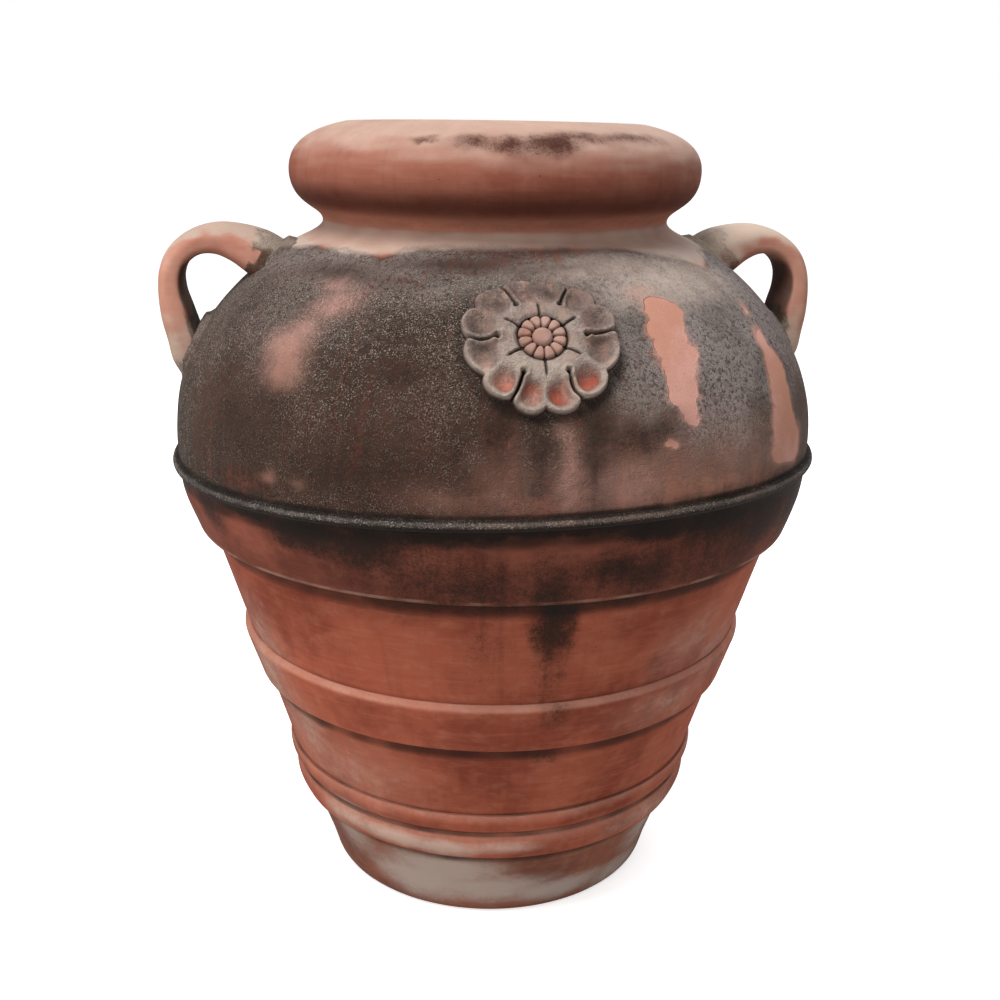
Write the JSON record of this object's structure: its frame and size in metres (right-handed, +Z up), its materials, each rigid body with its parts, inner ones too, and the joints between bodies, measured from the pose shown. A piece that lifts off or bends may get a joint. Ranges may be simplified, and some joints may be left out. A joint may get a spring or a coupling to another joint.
{
  "type": "oil jar",
  "caption": "Large terracotta oil jar with a rolled rim, strap handles on the shoulder, a belt cord, raised bands and a moulded rosette.",
  "frame": {"origin": "middle of the jar's flat resting face, on the axis that its round courses share", "axes": "+Z up the jar's axis towards its mouth, -Y out through the rosette, X through the handles with the wider handle at -X"},
  "size_m": [0.8456, 0.8406, 1],
  "materials": {
    "foot_clay": "rough fired terracotta with a grey-white bloom",
    "wall_clay": "matt orange-red terracotta",
    "pale_clay": "terracotta with a pale bloom on its ridges",
    "stained_clay": "terracotta with dark water stains",
    "dark_clay": "charcoal-brown weathered terracotta",
    "weathered_clay": "gritty charcoal-brown patina over terracotta",
    "rim_clay": "smooth worn terracotta with grey lichen stains",
    "handle_clay": "smooth salmon-pink terracotta",
    "luting_clay": "rough smeared clay",
    "rosette_clay": "worn moulded terracotta"
  },
  "bodies": {
    "root": {"floor_slab": "foot_clay", "foot_wall": "foot_clay", "lower_wall": "wall_clay", "waist_wall": "wall_clay", "belly_wall": "weathered_clay", "shoulder_wall": "weathered_clay", "lower_bead": "pale_clay", "upper_bead": "pale_clay", "middle_band": "wall_clay", "upper_band": "stained_clay", "belt_cord": "dark_clay", "neck_collar": "rim_clay", "rim_roll": "rim_clay", "left_handle": "handle_clay", "left_handle_head_lute": "luting_clay", "left_handle_foot_lute": "luting_clay", "right_handle": "handle_clay", "right_handle_head_lute": "luting_clay", "right_handle_foot_lute": "luting_clay", "rosette_petal_1": "rosette_clay", "rosette_petal_2": "rosette_clay", "rosette_petal_3": "rosette_clay", "rosette_petal_4": "rosette_clay", "rosette_petal_5": "rosette_clay", "rosette_petal_6": "rosette_clay", "rosette_cup": "rosette_clay", "rosette_button": "rosette_clay", "rosette_seed_01": "rosette_clay", "rosette_seed_02": "rosette_clay", "rosette_seed_03": "rosette_clay", "rosette_seed_04": "rosette_clay", "rosette_seed_05": "rosette_clay", "rosette_seed_06": "rosette_clay", "rosette_seed_07": "rosette_clay", "rosette_seed_08": "rosette_clay", "rosette_seed_09": "rosette_clay", "rosette_seed_10": "rosette_clay", "rosette_seed_11": "rosette_clay", "rosette_seed_12": "rosette_clay"}
  },
  "joints": []
}
